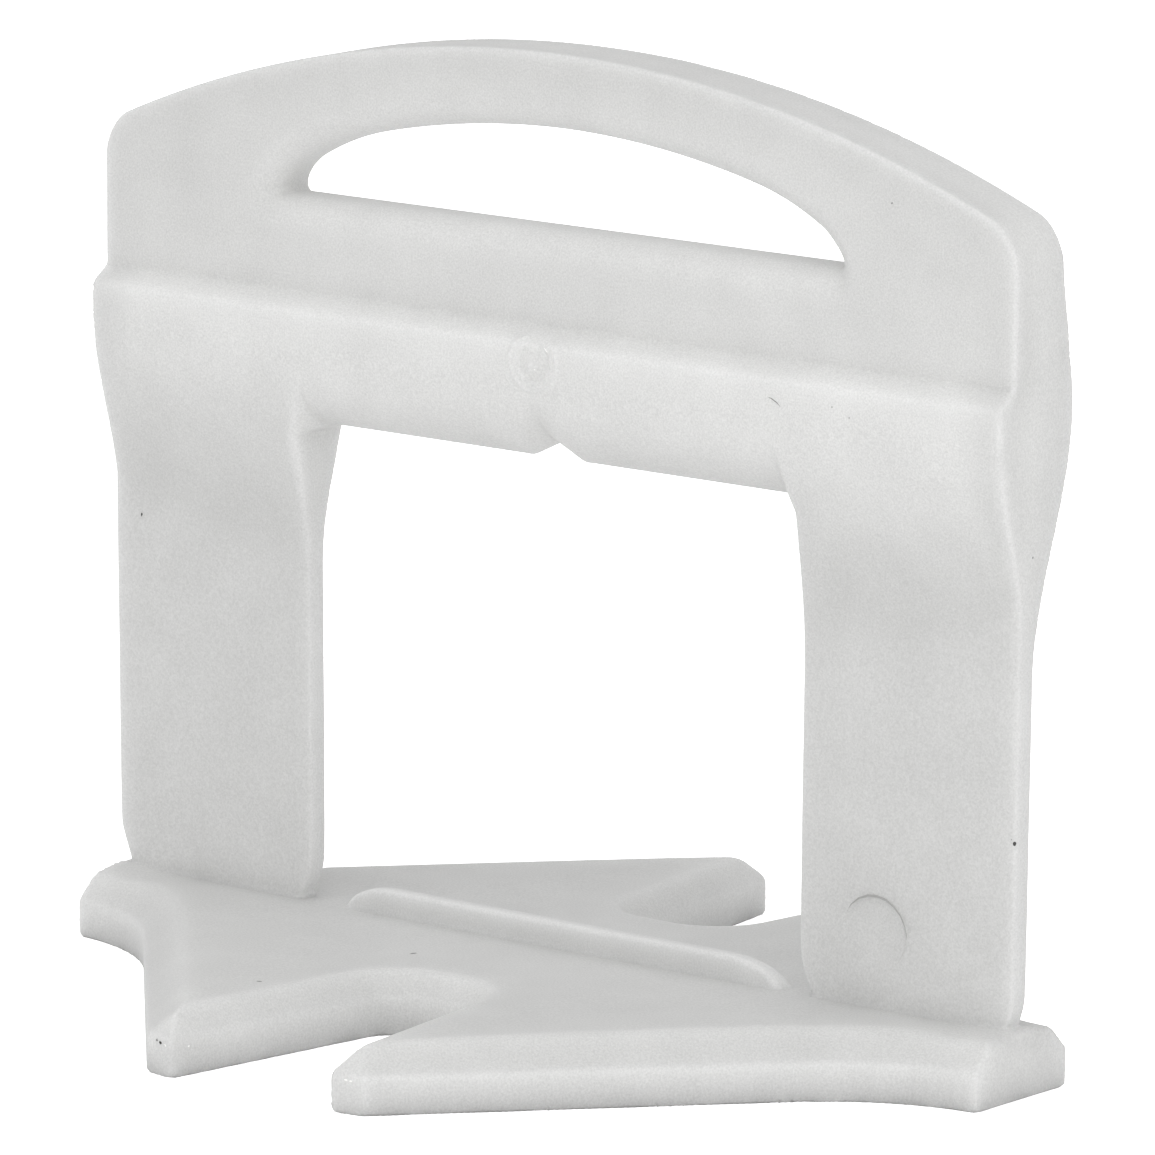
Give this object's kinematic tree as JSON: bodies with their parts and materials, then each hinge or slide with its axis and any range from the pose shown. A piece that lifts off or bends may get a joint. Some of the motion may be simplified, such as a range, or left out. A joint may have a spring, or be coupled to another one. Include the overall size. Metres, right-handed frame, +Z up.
{
  "type": "tile levelling clip",
  "caption": "Moulded plastic tile levelling clip: a flat winged foot with a bridge of thin break-off legs, a thick crossbar and an arched handle with a half-moon hole",
  "frame": {"origin": "on the standing plane, under the middle of the foot", "axes": "+X along the bridge through both legs, +Y through the bridge from the gate's side to the back, +Z up from the foot to the handle"},
  "size_m": [0.05, 0.0404, 0.0417],
  "materials": {
    "natural_polypropylene": "milky, undyed, satin as moulded"
  },
  "bodies": {
    "root": {"levelling_clip": "natural_polypropylene"}
  },
  "joints": []
}
